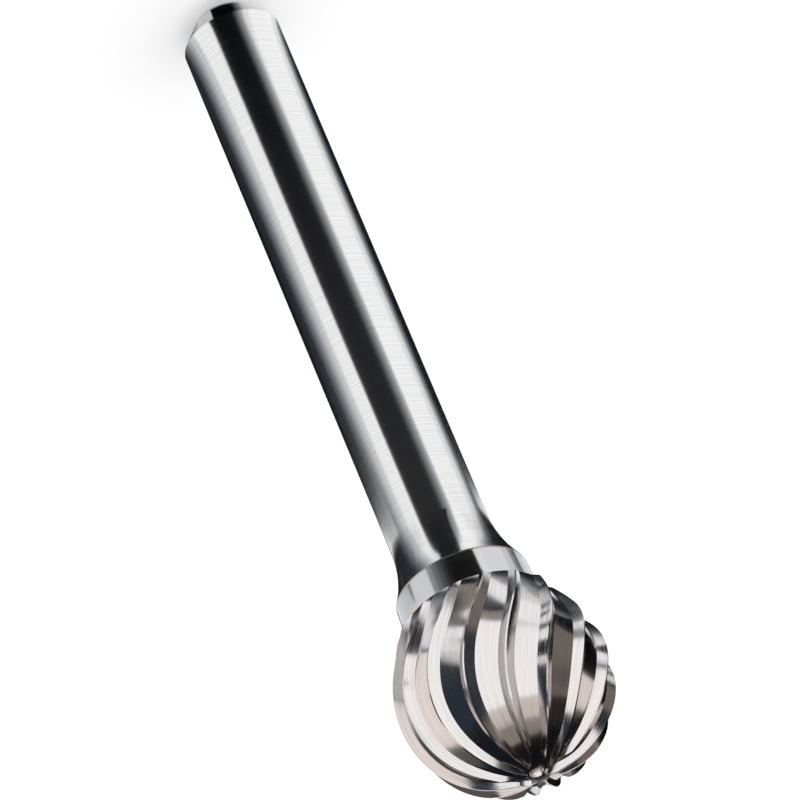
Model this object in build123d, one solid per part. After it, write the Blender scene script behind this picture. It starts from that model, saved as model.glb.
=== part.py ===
from build123d import *
from math import atan, cos, degrees, radians, sin, sqrt, tan
import os

# Ball-shaped rotary burr. It stands on the end of its shank: the origin is the centre of that
# end face and +Z runs along the axis to the tip. Lengths are in millimetres, angles in degrees.

# Shank
shank_diameter = 6.0
shank_length = 43.1  # from the end face to the braze line
end_chamfer_radial = 1.2
end_chamfer_axial = 1.65
flare_radius = 8.0  # concave sweep from the plain shank up to the braze line

# Braze line
braze_diameter = 8.0
braze_thickness = 0.1

# Neck band of the carbide head
neck_diameter = 8.22  # at its shoulder under the teeth
neck_length = 1.8
shoulder_length = 0.45  # axial, from the neck band out to the back end of the teeth

# Ball
ball_diameter = 12.7
back_cone_angle = 24.3  # half angle of the cone that the ball runs into behind its widest part
back_cone_length = 2.2  # axial

# Teeth
tooth_count = 15
long_tooth_step = 3  # every third tooth runs on to the centre of the tip
first_edge_angle = 17.0  # cutting edge where the ball is widest, counted from +X
twist_rate = 4.3  # degrees per millimetre of height, where the ball is widest
twist_growth = 0.31  # further degrees per square millimetre towards the shank
land_width = 0.1  # ground land behind each cutting edge
gullet_depth = 0.55
gullet_end_depth = 0.3  # where the teeth end behind the ball
rake_share = 0.2  # widths of a gullet's two flanks, as shares of its own width
clearance_share = 0.23
short_gullet_start = 9.0  # polar angle from the tip where a plain gullet starts
long_gullet_start = 3.0  # the same for a gullet that runs to the centre
flare_start = 22.0  # polar angle inside which a long gullet widens over its neighbours
flare_end = 11.0  # polar angle where it is widest
flare_span = 57.0  # turn about the axis that it then takes
flare_depth = 0.42  # its depth there
entry_turn = 5.0  # polar angle over which a gullet comes to its full depth
entry_lift = 1.2  # lift of a cutter's tip end, as a share of the gullet's depth
cutter_overrun = 0.4  # axial, past the back end of the teeth
cutter_clearance = 0.6  # how far the cutters' sides stand out of the ball

shank_radius = shank_diameter / 2
braze_radius = braze_diameter / 2
neck_radius = neck_diameter / 2
ball_radius = ball_diameter / 2
head_base = shank_length + braze_thickness
neck_top = head_base + neck_length
tooth_end_height = neck_top + shoulder_length
cone_start_height = tooth_end_height + back_cone_length
cone_start_angle = 90 + back_cone_angle
cone_start_radius = ball_radius * cos(radians(back_cone_angle))
ball_centre_height = cone_start_height + ball_radius * sin(radians(back_cone_angle))
tooth_pitch = 360 / tooth_count

os.makedirs("parts", exist_ok=True)


def outline(polar_angle):
    """Radius and height of a point of the ball, at an angle from the tip."""
    return (
        ball_radius * sin(radians(polar_angle)),
        ball_centre_height + ball_radius * cos(radians(polar_angle)),
    )


def cone_radius(height):
    """Radius of the cone behind the ball."""
    return cone_start_radius - (cone_start_height - height) * tan(radians(back_cone_angle))


def shank():
    """Plain ground shank with a bevelled end and a concave flare that grows to the braze line."""
    flare_rise = braze_radius - shank_radius
    flare_height = sqrt(flare_radius**2 - (flare_radius - flare_rise) ** 2)
    with BuildPart() as part:
        with BuildSketch(Plane.XZ):
            with BuildLine():
                flare = RadiusArc(
                    (shank_radius, shank_length - flare_height),
                    (braze_radius, shank_length),
                    flare_radius,
                )
                Polyline(
                    flare @ 1,
                    (0, shank_length),
                    (0, 0),
                    (shank_radius - end_chamfer_radial, 0),
                    (shank_radius, end_chamfer_axial),
                    flare @ 0,
                )
            make_face()
        revolve(axis=Axis.Z)
    return part.part


def braze_joint():
    """Thin layer of silver braze between the shank and the head."""
    base = (Align.CENTER, Align.CENTER, Align.MIN)
    return Pos(0, 0, shank_length) * Cylinder(braze_radius, braze_thickness, align=base)


def head_blank():
    """The head before its teeth are ground: neck band, cone and ball."""
    with BuildPart() as part:
        with BuildSketch(Plane.XZ.rotated((0, 0, first_edge_angle))):
            with BuildLine():
                ball = CenterArc((0, ball_centre_height), ball_radius, -back_cone_angle, cone_start_angle)
                Polyline(
                    ball @ 0,
                    (cone_radius(tooth_end_height), tooth_end_height),
                    (neck_radius, neck_top),
                    (braze_radius, head_base),
                    (0, head_base),
                    ball @ 1,
                )
            make_face()
        revolve(axis=Axis.Z)
    return part.part


def edge_angle(height):
    """Turn of the cutting edge about the axis at a height, for a right-hand helix."""
    rise = height - ball_centre_height
    return first_edge_angle + twist_rate * rise - twist_growth * rise**2


def gullet_section(radius, height, normal_angle, span, depth, lift=0):
    """Cross-section of a gullet's cutter, square to the outline at a radius and height.

    The gullet starts at the cutting edge, on its left, and takes the given turn about the axis.
    A lift raises the whole section off the blank.
    """
    middle = radians(edge_angle(height) + span / 2)
    tilt = radians(normal_angle)
    outwards = Vector(sin(tilt) * cos(middle), sin(tilt) * sin(middle), cos(tilt))
    around = Vector(-sin(middle), cos(middle), 0)
    plane = Plane(
        origin=(radius * cos(middle), radius * sin(middle), height),
        x_dir=around,
        z_dir=around.cross(outwards),
    )
    half_turn = atan(tan(radians(span / 2)) * radius / ball_radius)
    half_width = ball_radius * sin(half_turn)
    rim = lift - ball_radius * (1 - cos(half_turn))
    floor = lift - depth
    with BuildSketch(plane) as sketch:
        with BuildLine():
            Polyline(
                (-half_width, rim),
                (half_width * (2 * rake_share - 1), floor),
                (half_width * (1 - 2 * clearance_share), floor),
                (half_width, rim),
                (half_width, rim + cutter_clearance),
                (-half_width, rim + cutter_clearance),
                close=True,
            )
        make_face()
    return sketch.sketch


def gullet_span(radius):
    """Turn about the axis that a gullet takes between two teeth at a radius."""
    return tooth_pitch - degrees(land_width / radius)


def ball_section(polar_angle, runs_to_centre, lift=0):
    """Section of a gullet's cutter on the ball, at an angle from the tip."""
    radius, height = outline(polar_angle)
    span = gullet_span(radius)
    depth = gullet_depth * sqrt(sin(radians(polar_angle)))
    if runs_to_centre and polar_angle < flare_start:
        share = min(1, (flare_start - polar_angle) / (flare_start - flare_end))
        span += share * (flare_span - span)
        depth += share * (flare_depth - depth)
    return gullet_section(radius, height, polar_angle, span, depth, lift * depth)


def cone_section(height, depth):
    """Section of a gullet's cutter on the cone behind the ball."""
    radius = cone_radius(height)
    return gullet_section(radius, height, cone_start_angle, gullet_span(radius), depth)


def gullet_cutter(runs_to_centre):
    """Solid that grinds one gullet, from the tip over the ball to the neck."""
    start = long_gullet_start if runs_to_centre else short_gullet_start
    sections = [ball_section(start, runs_to_centre, entry_lift)]
    steps = 8
    for i in range(steps + 1):
        angle = start + entry_turn + (cone_start_angle - start - entry_turn) * i / steps
        sections.append(ball_section(angle, runs_to_centre))
    for share in (0.5, 1):
        height = cone_start_height - share * back_cone_length
        depth = gullet_depth + share * (gullet_end_depth - gullet_depth)
        sections.append(cone_section(height, depth))
    sections.append(cone_section(tooth_end_height - cutter_overrun, gullet_end_depth))
    return loft(sections)


def cutting_head():
    """Ball head with its helical teeth: one gullet in every three runs on to the centre."""
    long_cutter = gullet_cutter(True)
    short_cutter = gullet_cutter(False)
    head = head_blank()
    for i in range(tooth_count):
        cutter = long_cutter if i % long_tooth_step == 0 else short_cutter
        head -= Rot(0, 0, i * tooth_pitch) * cutter
    return head


export_step(shank(), "parts/shank.step")
export_step(braze_joint(), "parts/braze_joint.step")
export_step(cutting_head(), "parts/cutting_head.step")
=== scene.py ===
import math

import bmesh
import bpy
from mathutils import Matrix, Vector


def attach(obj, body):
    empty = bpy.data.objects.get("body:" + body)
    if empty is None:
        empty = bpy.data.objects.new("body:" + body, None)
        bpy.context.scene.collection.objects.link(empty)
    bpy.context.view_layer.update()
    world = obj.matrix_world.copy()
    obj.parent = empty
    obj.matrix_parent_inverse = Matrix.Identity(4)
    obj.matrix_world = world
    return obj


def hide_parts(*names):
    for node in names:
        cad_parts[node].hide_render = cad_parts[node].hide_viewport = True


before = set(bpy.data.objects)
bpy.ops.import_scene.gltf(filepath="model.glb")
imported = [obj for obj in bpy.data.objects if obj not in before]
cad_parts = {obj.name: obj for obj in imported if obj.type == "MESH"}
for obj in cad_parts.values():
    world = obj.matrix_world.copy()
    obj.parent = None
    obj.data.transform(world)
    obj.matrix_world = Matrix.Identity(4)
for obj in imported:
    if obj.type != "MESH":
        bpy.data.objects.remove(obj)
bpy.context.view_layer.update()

MM = 0.001

# What the photograph shows of the camera: a long lens, close above the ball's tip.
PICTURE_SIDE = 800
FOCAL_PIXELS = 7655
BALL_CENTRE_PIXEL = (504.1, 688.2)
CAMERA_DEPTH = 434.9 * MM  # from the lens to the ball's centre, along the view
AXIS_LEAN = math.radians(22.88)  # in the picture, from straight down towards the right
AXIS_TILT = math.radians(32.1)  # of the tip towards the camera: 31.7 fitted, 0.4 more
BALL_CENTRE = Vector((0, 0, 50.26 * MM))

# The teeth, as the solids have them
BALL_RADIUS = 6.35 * MM
TOOTH_END = 45.2 * MM  # height of the neck band's upper rim
TWIST = math.radians(4.3) / MM  # turn about the axis per metre of height, where the ball is widest
TWIST_GROWTH = math.radians(0.31) / MM**2


def linear(hex_colour):
    """sRGB hex colour as linear red, green, blue and alpha."""
    out = []
    for i in (1, 3, 5):
        c = int(hex_colour[i : i + 2], 16) / 255
        out.append(c / 12.92 if c <= 0.04045 else ((c + 0.055) / 1.055) ** 2.4)
    return (*out, 1)


def add_node(tree, kind, inputs=None, **settings):
    """Adds a shader node with its settings and the values or links of its inputs."""
    node = tree.nodes.new(kind)
    for name, value in settings.items():
        setattr(node, name, value)
    for name, value in (inputs or {}).items():
        if isinstance(value, bpy.types.NodeSocket):
            tree.links.new(value, node.inputs[name])
        else:
            node.inputs[name].default_value = value
    return node


def new_material(name):
    """Empty node material with its output node."""
    material = bpy.data.materials.new(name)
    material.use_nodes = True
    material.node_tree.nodes.clear()
    return material, material.node_tree


def ground_steel():
    """Hardened steel, cylindrically ground: soft bright and dark bands along the shank, crossed
    by fine rings. The wheel's marks are 0.02 mm apart; they are drawn 0.12 mm apart to show."""
    material, tree = new_material("ground_steel")
    place = add_node(tree, "ShaderNodeTexCoord").outputs["Object"]
    rings = add_node(tree, "ShaderNodeMapping", {"Vector": place, "Scale": (30, 30, 1 / (0.12 * MM))})
    marks = add_node(tree, "ShaderNodeTexNoise", {
        "Vector": rings.outputs[0], "Scale": 1.0, "Detail": 3.0, "Roughness": 0.6,
    })
    tone = add_node(tree, "ShaderNodeMix", {
        0: marks.outputs[0], 6: linear("#B2B5B9"), 7: linear("#E2E0DD"),
    }, data_type="RGBA")
    rough = add_node(tree, "ShaderNodeMapRange", {
        "Value": marks.outputs[0], "From Min": 0.3, "From Max": 0.7, "To Min": 0.15, "To Max": 0.19,
    })
    bump = add_node(tree, "ShaderNodeBump", {
        "Height": marks.outputs[0], "Strength": 0.12, "Distance": 0.003 * MM,
    })
    shader = add_node(tree, "ShaderNodeBsdfPrincipled", {
        "Base Color": tone.outputs[2], "Metallic": 1.0, "Roughness": rough.outputs[0],
        "Normal": bump.outputs[0],
    })
    add_node(tree, "ShaderNodeOutputMaterial", {"Surface": shader.outputs[0]})
    return material


def ground_carbide():
    """Tungsten carbide, diamond ground along the teeth: a hard grey mirror with streaks that
    follow each gullet, over a plain neck band. The grit's marks are 0.01 mm wide; they are drawn
    0.06 mm wide to show."""
    material, tree = new_material("ground_carbide")
    place = add_node(tree, "ShaderNodeTexCoord").outputs["Object"]
    axes = add_node(tree, "ShaderNodeSeparateXYZ", {0: place})
    # Turn of the teeth at this height, as radians: TWIST * rise - TWIST_GROWTH * rise squared.
    rise = add_node(tree, "ShaderNodeMath", {0: axes.outputs["Z"], 1: BALL_CENTRE.z}, operation="SUBTRACT")
    slope = add_node(tree, "ShaderNodeMath", {
        0: rise.outputs[0], 1: -TWIST_GROWTH, 2: TWIST,
    }, operation="MULTIPLY_ADD")
    turn = add_node(tree, "ShaderNodeMath", {0: rise.outputs[0], 1: slope.outputs[0]}, operation="MULTIPLY")
    back = add_node(tree, "ShaderNodeMath", {0: turn.outputs[0], 1: -1.0}, operation="MULTIPLY")
    flat = add_node(tree, "ShaderNodeCombineXYZ", {"X": axes.outputs["X"], "Y": axes.outputs["Y"]})
    round_way = add_node(tree, "ShaderNodeVectorMath", {0: flat.outputs[0]}, operation="NORMALIZE")
    untwisted = add_node(tree, "ShaderNodeVectorRotate", {
        "Vector": round_way.outputs[0], "Axis": (0, 0, 1), "Angle": back.outputs[0],
    })
    along = add_node(tree, "ShaderNodeCombineXYZ", {"Z": rise.outputs[0]})
    streak_place = add_node(tree, "ShaderNodeVectorMath", {
        0: untwisted.outputs[0], 1: (BALL_RADIUS / (0.06 * MM),) * 3, 2: along.outputs[0],
    }, operation="MULTIPLY_ADD")
    drift = add_node(tree, "ShaderNodeVectorMath", {
        0: along.outputs[0], 1: (0, 0, 1 / (3 * MM)), 2: streak_place.outputs[0],
    }, operation="MULTIPLY_ADD")
    streaks = add_node(tree, "ShaderNodeTexNoise", {
        "Vector": drift.outputs[0], "Scale": 1.0, "Detail": 2.0, "Roughness": 0.55,
    })
    wide_place = add_node(tree, "ShaderNodeVectorMath", {
        0: drift.outputs[0], 1: (0.18, 0.18, 0.5),
    }, operation="MULTIPLY")
    wide = add_node(tree, "ShaderNodeTexNoise", {
        "Vector": wide_place.outputs[0], "Scale": 1.0, "Detail": 1.0,
    })
    tone = add_node(tree, "ShaderNodeMix", {
        0: wide.outputs[0], 6: linear("#BEC1C5"), 7: linear("#D4CCC7"),
    }, data_type="RGBA")
    lines = add_node(tree, "ShaderNodeMapRange", {
        "Value": streaks.outputs[0], "From Min": 0.35, "From Max": 0.65, "To Min": 0.0, "To Max": 1.0,
    })
    streaked = add_node(tree, "ShaderNodeMix", {
        0: lines.outputs[0], 6: linear("#BDBCBD"), 7: tone.outputs[2],
    }, data_type="RGBA")
    toothed = add_node(tree, "ShaderNodeMath", {0: axes.outputs["Z"], 1: TOOTH_END}, operation="GREATER_THAN")
    tone = add_node(tree, "ShaderNodeMix", {
        0: toothed.outputs[0], 6: linear("#B4B5B7"), 7: streaked.outputs[2],
    }, data_type="RGBA")
    rough = add_node(tree, "ShaderNodeMapRange", {
        "Value": streaks.outputs[0], "From Min": 0.3, "From Max": 0.7, "To Min": 0.2, "To Max": 0.11,
    })
    rough = add_node(tree, "ShaderNodeMix", {0: toothed.outputs[0], 2: 0.12, 3: rough.outputs[0]})
    bump = add_node(tree, "ShaderNodeBump", {
        "Height": streaks.outputs[0], "Strength": 0.3, "Distance": 0.004 * MM,
    })
    shader = add_node(tree, "ShaderNodeBsdfPrincipled", {
        "Base Color": tone.outputs[2], "Metallic": 1.0, "Roughness": rough.outputs[0],
        "Normal": bump.outputs[0],
    })
    add_node(tree, "ShaderNodeOutputMaterial", {"Surface": shader.outputs[0]})
    return material


def silver_braze():
    """Silver braze alloy, ground flush with the steel and carbide: a thin, slightly yellow line,
    mottled where the flux has lain."""
    material, tree = new_material("silver_braze")
    place = add_node(tree, "ShaderNodeTexCoord").outputs["Object"]
    mottle = add_node(tree, "ShaderNodeTexNoise", {"Vector": place, "Scale": 1 / (0.4 * MM), "Detail": 3.0})
    tone = add_node(tree, "ShaderNodeMix", {
        0: mottle.outputs[0], 6: linear("#8C887C"), 7: linear("#BAB5A6"),
    }, data_type="RGBA")
    rough = add_node(tree, "ShaderNodeMapRange", {
        "Value": mottle.outputs[0], "From Min": 0.3, "From Max": 0.7, "To Min": 0.25, "To Max": 0.4,
    })
    shader = add_node(tree, "ShaderNodeBsdfPrincipled", {
        "Base Color": tone.outputs[2], "Metallic": 1.0, "Roughness": rough.outputs[0],
    })
    add_node(tree, "ShaderNodeOutputMaterial", {"Surface": shader.outputs[0]})
    return material


def smooth_copy(node_name, angle):
    """A copy of a CAD node with its corners merged and shaded smooth up to an angle."""
    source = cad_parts[node_name]
    mesh = source.data.copy()
    mesh.attributes.remove(mesh.attributes["custom_normal"])
    shape = bmesh.new()
    shape.from_mesh(mesh)
    bmesh.ops.remove_doubles(shape, verts=shape.verts, dist=0.001 * MM)
    for face in shape.faces:
        face.smooth = True
    for edge in shape.edges:
        edge.smooth = edge.calc_face_angle(0) < math.radians(angle)
    shape.to_mesh(mesh)
    shape.free()
    piece = bpy.data.objects.new(node_name + "_surface", mesh)
    bpy.context.scene.collection.objects.link(piece)
    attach(piece, "root")
    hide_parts(node_name)
    return piece


for node_name, material, angle in (
    ("shank", ground_steel(), 25),
    ("braze_joint", silver_braze(), 25),
    ("cutting_head", ground_carbide(), 22),
):
    piece = smooth_copy(node_name, angle)
    piece.data.materials.clear()
    piece.data.materials.append(material)


def studio_card(name, start, end, profile, colour, strength=1.0):
    """Curved card of the studio that only reflections see: a line of radii and heights in
    millimetres, spun round the shank between two angles in degrees from -Y towards -X."""
    mesh = bpy.data.meshes.new(name)
    shape = bmesh.new()
    first = math.radians(start)
    points = [
        shape.verts.new((-math.sin(first) * radius * MM, -math.cos(first) * radius * MM, height * MM))
        for radius, height in profile
    ]
    for below, above in zip(points, points[1:]):
        shape.edges.new((below, above))
    bmesh.ops.spin(
        shape, geom=shape.verts[:] + shape.edges[:], cent=(0, 0, 0), axis=(0, 0, 1),
        angle=-math.radians(end - start), steps=max(4, round((end - start) / 6)),
    )
    shape.to_mesh(mesh)
    shape.free()
    card = bpy.data.objects.new(name, mesh)
    bpy.context.scene.collection.objects.link(card)
    material, tree = new_material(name)
    glow = add_node(tree, "ShaderNodeEmission", {"Color": linear(colour), "Strength": strength})
    add_node(tree, "ShaderNodeOutputMaterial", {"Surface": glow.outputs[0]})
    mesh.materials.append(material)
    card.visible_camera = False
    card.visible_shadow = False
    card.visible_diffuse = False


# Floor: white to the eye and to the metal, with the shadow kept
bpy.ops.mesh.primitive_plane_add(size=4)
floor = bpy.context.object
floor.name = "floor"
material, tree = new_material("white_floor")
path = add_node(tree, "ShaderNodeLightPath")
paint = add_node(tree, "ShaderNodeBsdfDiffuse", {"Color": linear("#F2F2F2")})
lift = add_node(tree, "ShaderNodeEmission", {"Strength": 0.2})
lit = add_node(tree, "ShaderNodeAddShader", {0: paint.outputs[0], 1: lift.outputs[0]})
seen = add_node(tree, "ShaderNodeMath", {
    0: path.outputs["Is Camera Ray"], 1: path.outputs["Is Glossy Ray"],
}, operation="MAXIMUM")
seen = add_node(tree, "ShaderNodeMath", {
    0: seen.outputs[0], 1: path.outputs["Is Transmission Ray"],
}, operation="MAXIMUM")
shown = add_node(tree, "ShaderNodeMixShader", {0: seen.outputs[0], 1: paint.outputs[0], 2: lit.outputs[0]})
add_node(tree, "ShaderNodeOutputMaterial", {"Surface": shown.outputs[0]})
floor.data.materials.append(material)

# The cards below are set to give the bands that the photograph shows. Angles are in
# degrees from -Y towards -X, lengths in millimetres, and a strength over 1 is a lamp.

# Cards on the floor round the foot of the shank; those in front of it run up beside it as walls.
# The bevelled end sees the floor straight below it, so the cards there are turned and dimmed.
FOOT_CARD_HEIGHT = 0.2
BEVEL_CARD_HEIGHT = 0.05
BEVEL_TURN = 7
BEVEL_DIMMING = 0.55
WALL_RADIUS = 6
WALL_TOP = 41.4
for name, start, end, reach, colour, strength in (
    ("front_flag", -23, 18, 6, "#06090F", 1.0),
    ("front_shade_a", 18, 21, 6, "#2A2D32", 1.0),
    ("front_shade_b", 21, 24, 6, "#54585D", 1.0),
    ("front_shade_c", 24, 28, 6, "#7E8287", 1.0),
    ("front_shade_d", 28, 32, 6, "#A6A9AD", 1.0),
    ("front_shade_e", 32, 36, 6, "#D0D2D5", 1.0),
    ("right_soft_light", 36, 46, 70, "#FFFFFF", 1.15),
    ("right_light", 46, 94, 70, "#FFFFFF", 1.4),
    ("right_shade_a", 94, 108, 70, "#FFFFFF", 1.1),
    ("right_shade_b", 108, 117, 70, "#A8ACB1", 1.0),
    ("right_shade_c", 117, 126, 70, "#5C6166", 1.0),
    ("back_flag", 126, 225, 62, "#14171C", 1.0),
    ("left_shade_a", -135, -106, 62, "#2C3137", 1.0),
    ("left_shade_b", -106, -98, 62, "#4C5258", 1.0),
    ("left_shade_c", -98, -90, 62, "#70767C", 1.0),
    ("left_shade_d", -90, -82, 70, "#979CA1", 1.0),
    ("left_shade_e", -82, -73, 70, "#C6CACD", 1.0),
    ("left_soft_light", -73, -60, 70, "#F0F1F3", 1.0),
    ("left_light", -60, -23, 70, "#FFFFFF", 1.35),
):
    foot = [(3.2, FOOT_CARD_HEIGHT), (reach, FOOT_CARD_HEIGHT)]
    studio_card("shank_" + name, start, end, foot, colour, strength)
    if reach == WALL_RADIUS:
        wall = [(WALL_RADIUS, FOOT_CARD_HEIGHT), (WALL_RADIUS, WALL_TOP)]
        studio_card("wall_" + name, start, end, wall, colour, strength)
    studio_card(
        "bevel_" + name, start + BEVEL_TURN, end + BEVEL_TURN,
        [(1.9, BEVEL_CARD_HEIGHT), (3.2, BEVEL_CARD_HEIGHT)], colour, BEVEL_DIMMING * strength,
    )
studio_card("flare_flag", -12, 20, [(3.25, 39.3), (4.6, 39.3)], "#06090F")

# Cards close to the neck
NECK_CARD = [(8, 39.6), (8, 43)]
for name, start, end, colour, strength in (
    ("flag", -4, 32, "#060709", 1.0),
    ("shade_a", -9, -4, "#202124", 1.0),
    ("shade_b", -14, -9, "#404144", 1.0),
    ("shade_c", -20, -14, "#646568", 1.0),
    ("shade_d", -27, -20, "#8C8D90", 1.0),
    ("shade_e", -34, -27, "#B8B9BB", 1.0),
    ("left_light", -66, -34, "#FFFFFF", 1.25),
):
    studio_card("neck_" + name, start, end, NECK_CARD, colour, strength)

# Rings under the teeth: darkest next to the shank, fading outwards and towards their ends
RING_HEIGHT = 38
RING_START = 5.4
RING_FADE = ("#1C1D20", "#3E4044", "#6C6F73", "#9C9FA3", "#C6C8CB")
for name, start, end, fade in (("teeth_left_flag", -112, -30, 14), ("teeth_right_flag", 50, 90, 8)):
    for step in range(len(RING_FADE) - 1):
        ring = [(RING_START + step, RING_HEIGHT), (RING_START + 1 + step, RING_HEIGHT)]
        studio_card(name, start + fade, end - fade, ring, RING_FADE[step])
        studio_card(name + "_start", start, start + fade, ring, RING_FADE[step + 1])
        studio_card(name + "_end", end - fade, end, ring, RING_FADE[step + 1])

# Cards close to the ball
studio_card("ball_left_light", -92, -67, [(12, 38), (12, 60)], "#F0E6E0", 1.5)
studio_card("ball_left_low_light", -66, -46, [(12, 42), (12, 50)], "#E2DCD7")
studio_card("ball_left_low_flag", -45, -35, [(12, 42), (12, 50)], "#303A44")
studio_card("ball_left_high_flag", -60, -46, [(12, 50), (12, 59)], "#303A44")
studio_card("ball_front_flag", -28, -7, [(12, 41), (12, 46.6)], "#0C0F14")
studio_card("ball_right_flag", 76, 100, [(12, 42.5), (12, 47)], "#08080A")

# The room's lights and flags, as the ball sees them
studio_card("front_foot_flag", -34, 52, [(7, 0.15), (41, 0.15)], "#A39C96")
studio_card("front_light", -34, 52, [(42, 0.3), (350, 0.3), (350, 365)], "#FFFDFB", 1.5)
studio_card("front_top_light", -34, 52, [(350, 365), (350, 730)], "#DCD0C8", 1.35)
studio_card("left_flag", -90, -36, [(120, 0.3), (350, 0.3), (350, 277)], "#303A44")
studio_card("left_back_flag", -140, -90, [(130, 0.3), (350, 0.3), (350, 277)], "#6C6864")
studio_card("left_top_flag", -140, -36, [(350, 277), (350, 720)], "#1A2028")
studio_card("right_cool_flag", 54, 73, [(85, 0.3), (350, 0.3), (350, 500)], "#2A343C")
studio_card("right_warm_flag", 73, 100, [(85, 0.3), (350, 0.3), (350, 300)], "#8C817A")
studio_card("right_warm_top_flag", 73, 100, [(350, 300), (350, 720)], "#2C2826")
studio_card("right_dark_flag", 100, 165, [(85, 0.3), (350, 0.3), (350, 52)], "#08080A")
studio_card("right_light", 100, 160, [(350, 52), (350, 215)], "#FFF4EE", 1.2)
studio_card("right_top_flag", 100, 220, [(350, 215), (350, 720)], "#14161A")
studio_card("outline_flag", 165, 200, [(62, 0.3), (220, 0.3)], "#0A0B0D")
studio_card("top_light", -90, 60, [(1, 730), (360, 730)], "#A69C95")
studio_card("top_flag", 60, 270, [(1, 730), (360, 730)], "#1C1A1A")

world = bpy.data.worlds.new("studio")
bpy.context.scene.world = world
world.use_nodes = True
world.node_tree.nodes["Background"].inputs[0].default_value = (1, 1, 1, 1)
world.node_tree.nodes["Background"].inputs[1].default_value = 1.0

# Camera
tip_way = Vector((
    math.sin(AXIS_LEAN) * math.cos(AXIS_TILT), math.cos(AXIS_LEAN) * math.cos(AXIS_TILT), -math.sin(AXIS_TILT)
))
centre_view = CAMERA_DEPTH * Vector((
    (BALL_CENTRE_PIXEL[0] - PICTURE_SIDE / 2) / FOCAL_PIXELS,
    (BALL_CENTRE_PIXEL[1] - PICTURE_SIDE / 2) / FOCAL_PIXELS,
    1,
))
facing = -centre_view.normalized()
facing = (facing - facing.dot(tip_way) * tip_way).normalized()
side = facing.cross(tip_way)
to_picture = Matrix((-side, -facing, tip_way)).transposed()
to_model = to_picture.transposed()
camera_data = bpy.data.cameras.new("camera")
camera_data.sensor_width = 36
camera_data.lens = 36 * FOCAL_PIXELS / PICTURE_SIDE
camera_data.clip_start = 0.01
camera_data.clip_end = 10
camera = bpy.data.objects.new("camera", camera_data)
bpy.context.scene.collection.objects.link(camera)
turn = to_model @ Matrix(((1, 0, 0), (0, -1, 0), (0, 0, -1)))
camera.matrix_world = Matrix.Translation(BALL_CENTRE - to_model @ centre_view) @ turn.to_4x4()
bpy.context.scene.camera = camera
bpy.context.scene.view_settings.view_transform = "Standard"
